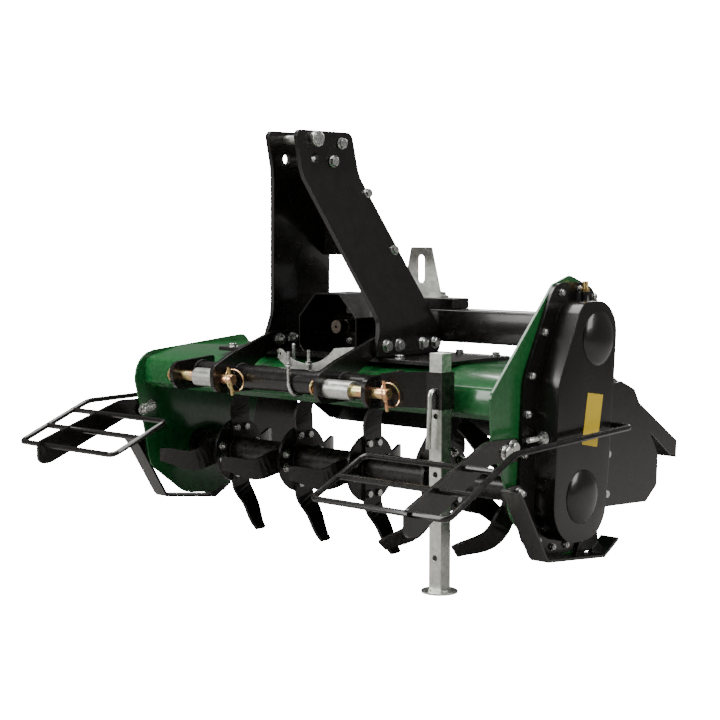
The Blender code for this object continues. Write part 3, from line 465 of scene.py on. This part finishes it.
# ---------------------------------------------------------------- mast, hitch
FOOT_BOLTS = (-0.103, -0.065, 0.010, 0.050)
FOOT_BOLT_Z = 0.2720
FOOT_BOLT = 0.0060
spots = []
for side in (-1, 1):
    for y in FOOT_BOLTS:
        spots.append((at(side * MAST_FOOT_FACE, y, FOOT_BOLT_Z), (side, 0, 0), FOOT_BOLT))
        spots.append((at(side * HITCH_INNER, y, FOOT_BOLT_Z), (-side, 0, 0), FOOT_BOLT,
                      {"tail": 0.006}))
fasteners("mast_foot_bolts", spots)

spread_out = HITCH_INNER + PLATE + SEAT - MAST_HEAD_INNER
drop = MAST_HEAD_LOW - MAST_FOOT_TOP
slant = atan2(spread_out, drop)
spots = []
for side in (-1, 1):
    for y, z in ((-0.045, 0.580), (-0.012, 0.463)):
        x = MAST_HEAD_INNER + spread_out * (MAST_HEAD_LOW - z) / drop + PLATE / cos(slant)
        spots.append((at(side * x, y, z), (side * cos(slant), 0, sin(slant)), 0.0048))
fasteners("mast_brace_bolts", spots)

HEAD_BOLT_FACE = MAST_HEAD_FACE + SEAT + 0.002
TOP_PIN_FACE = MAST_HEAD_FACE + SEAT + 0.0035
spots = []
for y, z in ((-0.112, 0.680), (-0.137, 0.643)):
    for side in (-1, 1):
        spots.append((at(side * HEAD_BOLT_FACE, y, z), (side, 0, 0), 0.0058, {"washer": 0.95}))
spots.append((at(TOP_PIN_FACE, -0.188, 0.686), (1, 0, 0), 0.0085, {"washer": 0.0}))
fasteners("mast_head_bolts", spots)

WELD_OFFSET = 0.0005
WELD_SIDES = 7
hitch_faces = (HITCH_INNER - WELD_OFFSET, HITCH_INNER + PLATE + WELD_OFFSET)
clevis_faces = (CLEVIS_INNER - WELD_OFFSET, CLEVIS_INNER + PLATE + WELD_OFFSET)
FOOT_WELD_Z = 0.2495
body = bmesh.new()
for side in (-1, 1):
    for x in (*hitch_faces, *clevis_faces):
        ring = ring_path(at(side * x, TUBE_Y, TUBE_Z), 0.0262, (1, 0, 0))
        tube_along(body, ring, 0.0022, WELD_SIDES, 0.22, True)
    for y0, y1 in ((-0.125, -0.020), (0.000, 0.064)):
        for x in hitch_faces:
            seam = line_path(at(side * x, y0, FOOT_WELD_Z), at(side * x, y1, FOOT_WELD_Z))
            tube_along(body, seam, 0.0019, WELD_SIDES, 0.25)
finish_piece("hitch_welds", body, BLACK, "frame", 60)

# U-bolt over the cross tube, open at the top, with a nut on each leg
CLAMP_X = 0.022
CLAMP_RADIUS = 0.0292
CLAMP_ROD = 0.0040
LEG_TOP, LEG_BEND, NUT_Z = 0.262, 0.230, 0.2320
body = bmesh.new()
legs = (TUBE_Y - CLAMP_RADIUS, TUBE_Y + CLAMP_RADIUS)
bow = [
    at(CLAMP_X, TUBE_Y + CLAMP_RADIUS * cos(a), TUBE_Z + CLAMP_RADIUS * sin(a))
    for a in [-pi * k / 16 for k in range(17)]
]
rise = [at(CLAMP_X, legs[1], LEG_TOP), at(CLAMP_X, legs[1], LEG_BEND)]
fall = [at(CLAMP_X, legs[0], LEG_BEND), at(CLAMP_X, legs[0], LEG_TOP)]
tube_along(body, rise + bow + fall, CLAMP_ROD, 12)
for y in legs:
    fastener(body, at(CLAMP_X, y, NUT_Z), (0, 0, 1), CLAMP_ROD, 1.0)
finish_piece("tube_clamp", body, BOLT_ZINC, "frame", 30)

body = bmesh.new()
lathe(body, [(0, 0), (0, 0.0052), (0.036, 0.0052), (0.037, 0.0044), (0.037, 0)],
      Matrix.Translation(at(-0.052, -0.150, 0.232)), frame_of((0, 0, 1)), 14)
finish_piece("hood_stud", body, BOLT_ZINC, "frame", 30)

# ------------------------------------------------------------- case and sides
CASE_BOLTS = (
    (-0.009, 0.386), (-0.063, 0.314), (-0.101, 0.234), (-0.113, 0.163), (-0.123, 0.089),
    (-0.128, 0.016), (-0.115, -0.038), (-0.079, -0.079), (-0.031, -0.098), (0.014, -0.100),
    (0.060, -0.098), (0.092, -0.066), (0.112, 0.010), (0.118, 0.100), (0.118, 0.200),
    (0.122, 0.300), (0.100, 0.376), (0.050, 0.392),
)
fasteners("case_bolts", [(at(CASE_FACE, y, z), (1, 0, 0), 0.0036, {"washer": 0.9, "tail": 0.002})
                         for y, z in CASE_BOLTS])

body = bmesh.new()
stud_foot = at(CASE_FACE + 0.018, -0.088, 0.118)
lathe(body, [(0, 0), (0, 0.0058), (0.046, 0.0058), (0.048, 0.0048), (0.048, 0)],
      Matrix.Translation(stud_foot), frame_of((0, -1, 0)), 18)
fastener(body, stud_foot, (0, -1, 0), 0.0060)
finish_piece("case_stud", body, BOLT_ZINC, "frame", 30)

spots = []
for side in (-1, 1):
    for y, z in ((-0.160, 0.106), (-0.182, 0.099)):
        spots.append((at(side * ARM_FACE, y, z), (side, 0, 0), 0.0062, {"washer": 1.1}))
        spots.append((at(side * SIDE_INNER, y + 0.004, z), (-side, 0, 0), 0.0062, {"tail": 0.005}))
fasteners("guard_bolts", spots)

spots = []
for side, rear, base in ((-1, 0.050, SIDE_OUTER + SEAT), (1, 0.090, CASE_FACE + SEAT)):
    for y, z in ((-0.158, 0.012), (-0.150, 0.022)):
        spots.append((at(side * (base + SKID_THICKNESS), y, z), (side, 0, 0), 0.0045))
    spots.append((at(side * (base + SKID_THICKNESS), rear + 0.006, -0.080), (side, 0, 0), 0.0045))
fasteners("skid_bolts", spots)

spots = []
for side in (-1, 1):
    for y, z in ((0.160, 0.155), (0.160, 0.060), (0.156, -0.020)):
        spots.append((at(side * (SIDE_OUTER + SEAT + WING_THICKNESS), y, z), (side, 0, 0), 0.0045))
fasteners("wing_bolts", spots)

BEARING_BOLT_CIRCLE = 0.050
LEFT_BEARING_FACE = -(SIDE_OUTER + SEAT + 0.006)
RIGHT_BEARING_FACE = SIDE_INNER - SEAT - 0.008
spots = []
for k in range(6):
    a = 2 * pi * (k + 0.5) / 6
    y, z = BEARING_BOLT_CIRCLE * cos(a), BEARING_BOLT_CIRCLE * sin(a)
    spots.append((at(LEFT_BEARING_FACE, y, z), (-1, 0, 0), 0.0038))
    spots.append((at(RIGHT_BEARING_FACE, y, z), (-1, 0, 0), 0.0038))
fasteners("bearing_bolts", spots)

body = bmesh.new()
lathe(body, [(0, 0.020), (0.0008, 0.0335), (0.0016, 0.030), (0.0018, 0.0205), (0.0005, 0.020)],
      Matrix.Translation(at(-(SIDE_OUTER + 0.0135), 0, 0)), frame_of((-1, 0, 0)), 32)
finish_piece("bearing_cover", body, CAST, "frame", 30)

# Blank plate on the case's cover
PLATE_CORNERS = ((0.0140, 0.1975), (0.0660, 0.1895), (0.0470, 0.0905), (-0.0040, 0.1005))
body = bmesh.new()
rings = [
    [body.verts.new(at(CASE_COVER_FACE + lift, y, z)) for y, z in PLATE_CORNERS]
    for lift in (0.0001, 0.0007)
]
bridge(body, rings)
body.faces.new(rings[0])
body.faces.new(rings[1][::-1])
finish_piece("case_plate", body, SIGN, "frame")

# ------------------------------------------------------------------ the rotor
spots = []
nuts = []
for index, (x, turn) in enumerate(zip(FLANGES, TURNS)):
    last = index == len(FLANGES) - 1
    for number in range(TINES):
        side = 1 if number % 2 and not last else -1
        a = turn + number * 2 * pi / TINES
        for lean in (-TINE_BOLT_LEAN, TINE_BOLT_LEAN):
            y, z = TINE_BOLT_CIRCLE * sin(a + lean), -TINE_BOLT_CIRCLE * cos(a + lean)
            spots.append((at(x + side * 0.0100, y, z), (side, 0, 0), 0.0046, {"washer": 0.0}))
            nuts.append((at(x - side * 0.0040, y, z), (-side, 0, 0), 0.0046,
                         {"washer": 0.95, "tail": 0.004}))
fasteners("tine_bolts", spots + nuts, "rotor")

body = bmesh.new()
for x in FLANGES:
    for side in (-1, 1):
        ring = ring_path(at(x + side * 0.0046, 0, 0), 0.0312, (1, 0, 0))
        tube_along(body, ring, 0.0024, WELD_SIDES, 0.22, True)
finish_piece("flange_welds", body, TINE, "rotor", 60)

# ----------------------------------------------------- input shaft and shield
# Six splines with a groove for the yoke's catch, and a plain round end with a centre hole
SHAFT_SIDES = 72
SPLINES = 6
SPLINE_ROOT = 0.94
SPLINE_RUN = (-0.070, -0.012)
PROFILE = (
    (PTO_FRONT, PTO_RADIUS - 0.001), (-0.0765, PTO_RADIUS), (-0.0702, PTO_RADIUS),
    (-0.0698, PTO_RADIUS), (-0.058, PTO_RADIUS), (-0.057, 0.0128), (-0.052, 0.0128),
    (-0.051, PTO_RADIUS), (0.040, PTO_RADIUS),
)


def shaft_ring(body, radius, y, grooved=False):
    """Ring of points about the input shaft's axis, drawn in between the splines."""
    ring = []
    for k in range(SHAFT_SIDES):
        a = 2 * pi * k / SHAFT_SIDES
        period = SHAFT_SIDES // SPLINES
        size = radius * (SPLINE_ROOT if grooved and k % period >= period // 2 else 1.0)
        ring.append(body.verts.new(at(size * cos(a), y, PTO_Z + size * sin(a))))
    return ring


body = bmesh.new()
rings = [
    shaft_ring(body, radius, y, SPLINE_RUN[0] < y < SPLINE_RUN[1])
    for y, radius in PROFILE
]
hole = shaft_ring(body, 0.0032, PTO_FRONT)
deep = shaft_ring(body, 0.0024, -0.073)
bridge(body, rings)
bridge(body, [deep, hole, rings[0]])
body.faces.new(deep)
body.faces.new(rings[-1])
shaft = finish_piece("input_shaft_splined", body, STEEL, "input", 25)
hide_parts("pto_shaft")

body = bmesh.new()
SEAL_Y = 0.0005
lathe(body, [
    (0.0, 0.0175), (0.0, 0.030), (0.004, 0.030), (0.006, 0.028), (0.0075, 0.022), (0.0075, 0.0175),
], Matrix.Translation(at(0, SEAL_Y, PTO_Z)), frame_of((0, -1, 0)), 32)
finish_piece("input_seal", body, PLASTIC, "frame", 30)

FRONT_CIRCLE = 0.046
SIDE_CIRCLE = 0.034
spots = []
for k in range(4):
    a = pi / 4 + pi / 2 * k
    spots.append((at(FRONT_CIRCLE * cos(a), SEAL_Y, PTO_Z + FRONT_CIRCLE * sin(a) - 0.002),
                  (0, -1, 0), 0.0034))
for side in (-1, 1):
    for z in (0.268, 0.322):
        spots.append((at(side * 0.055, GEARBOX_BACK, z), (0, 1, 0), 0.0038))
for k in range(6):
    a = 2 * pi * (k + 0.5) / 6
    spots.append((at(-GEARBOX_HALF, HOUSING_Y + SIDE_CIRCLE * cos(a), PTO_Z + SIDE_CIRCLE * sin(a)),
                  (-1, 0, 0), 0.0036))
fasteners("gearbox_bolts", spots)

body = bmesh.new()
lathe(body, [(0, 0), (0, 0.026), (0.003, 0.026), (0.004, 0.024), (0.004, 0)],
      Matrix.Translation(at(-GEARBOX_HALF, HOUSING_Y, PTO_Z)), frame_of((-1, 0, 0)), 36)
lathe(body, [(0, 0), (0, 0.030), (0.003, 0.030), (0.0045, 0.027), (0.0045, 0)],
      Matrix.Translation(at(0, GEARBOX_BACK, 0.300)), frame_of((0, 1, 0)), 36)
finish_piece("gearbox_covers", body, CAST, "frame", 30)

DECK_BOLTS = ((0.195, 0.092), (0.290, 0.092), (0.290, -0.100), (0.195, -0.100))
fasteners("deck_bolts", [
    (at(side * x, y, DECK - SEAT), (0, 0, 1), 0.0046) for side in (-1, 1) for x, y in DECK_BOLTS
])
fasteners("bracket_bolts", [(at(x, 0.120, 0.3665), (0, 0, 1), 0.0046) for x in (0.046, 0.124)])

# ---------------------------------------------------------------------- stand
CAP_HALF = 0.0143
CAP_PROFILE = ((0.2743, CAP_HALF), (0.2756, CAP_HALF), (0.2759, CAP_HALF * 0.94))
body = bmesh.new()
rings = [
    [body.verts.new(at(STAND_X + sx * half, STAND_Y + sy * half, z))
     for sx, sy in ((-1, -1), (1, -1), (1, 1), (-1, 1))]
    for z, half in CAP_PROFILE
]
bridge(body, rings)
body.faces.new(rings[-1])
body.faces.new(rings[0][::-1])
finish_piece("stand_cap", body, PLASTIC, "frame", 60)

body = bmesh.new()
foot_ring = ring_path(at(STAND_X, STAND_Y, -AXLE.z + 0.0045), 0.0170, (0, 0, 1))
tube_along(body, foot_ring, 0.0018, WELD_SIDES, 0.2, True)
finish_piece("foot_weld", body, ZINC, "frame", 60)

# ------------------------------------------------------- camera, light, stage
AZIMUTH, ELEVATION, ROLL = radians(42.063), radians(4.770), radians(0.037)
CAMERA_POINT = (2.19671, -2.43709, 0.50233)
FOCAL_PIXELS = 1544.52
IMAGE_PIXELS = 720.0
SENSOR = 36.0
camera_data = bpy.data.cameras.new("camera")
camera = bpy.data.objects.new("camera", camera_data)
bpy.context.scene.collection.objects.link(camera)
forward = Vector((-sin(AZIMUTH) * cos(ELEVATION), cos(AZIMUTH) * cos(ELEVATION), -sin(ELEVATION)))
right = Vector((cos(AZIMUTH), sin(AZIMUTH), 0.0))
up = right.cross(forward)
tilted_right = cos(ROLL) * right + sin(ROLL) * up
tilted_up = -sin(ROLL) * right + cos(ROLL) * up
pose = Matrix((tilted_right, tilted_up, -forward)).transposed().to_4x4()
pose.translation = at(*CAMERA_POINT)
camera.matrix_world = pose
camera_data.sensor_width = SENSOR
camera_data.lens = SENSOR * FOCAL_PIXELS / IMAGE_PIXELS
camera_data.clip_end = 200.0
bpy.context.scene.camera = camera


def glow(name, strength):
    made = bpy.data.materials.new(name)
    made.use_nodes = True
    tree = made.node_tree
    tree.nodes.clear()
    lamp = tree.nodes.new("ShaderNodeEmission")
    lamp.inputs["Strength"].default_value = strength
    end = tree.nodes.new("ShaderNodeOutputMaterial")
    tree.links.new(lamp.outputs[0], end.inputs["Surface"])
    return made


def area(name, where, target, size, power):
    data = bpy.data.lights.new(name, "AREA")
    data.shape = "RECTANGLE"
    data.size, data.size_y = size
    data.energy = power
    data.color = (1.0, 0.985, 0.965)
    made = bpy.data.objects.new(name, data)
    bpy.context.scene.collection.objects.link(made)
    made.location = where
    made.rotation_euler = (Vector(target) - Vector(where)).to_track_quat("-Z", "Y").to_euler()
    return made


def stage_object(name, body, paint):
    mesh = bpy.data.meshes.new(name)
    body.to_mesh(mesh)
    body.free()
    mesh.materials.append(paint)
    made = bpy.data.objects.new(name, mesh)
    bpy.context.scene.collection.objects.link(made)
    return made


# White ground that only the camera sees, and a floor that only throws light back
body = bmesh.new()
bmesh.ops.create_uvsphere(body, u_segments=48, v_segments=24, radius=40.0)
backdrop = stage_object("backdrop", body, glow("backdrop_white", 22.0))
for ray in ("visible_diffuse", "visible_glossy", "visible_transmission", "visible_shadow"):
    setattr(backdrop, ray, False)

grey, tree, shader = new_material("floor_white")
shader.inputs["Base Color"].default_value = (0.35, 0.34, 0.33, 1.0)
shader.inputs["Roughness"].default_value = 0.9
body = bmesh.new()
bmesh.ops.create_grid(body, x_segments=1, y_segments=1, size=6.0)
floor = stage_object("floor", body, grey)
floor.location.z = -0.0005
floor.visible_camera = False
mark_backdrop(floor, backdrop)

world = bpy.data.worlds.new("world")
bpy.context.scene.world = world
world.use_nodes = True
background = world.node_tree.nodes["Background"]
background.inputs["Color"].default_value = (1.0, 0.99, 0.975, 1.0)
background.inputs["Strength"].default_value = 0.16

area("top_box", (-0.4, -0.6, 3.4), (0.0, 0.0, 0.3), (3.2, 2.4), 190.0)
area("right_box", (3.6, 0.9, 2.2), (0.3, 0.0, 0.4), (1.6, 2.2), 85.0)
area("front_box", (-1.6, -3.6, 2.0), (0.0, 0.0, 0.4), (1.6, 2.2), 95.0)
area("rear_box", (-1.2, 3.4, 2.2), (0.0, 0.0, 0.4), (2.4, 1.6), 60.0)

low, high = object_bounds()
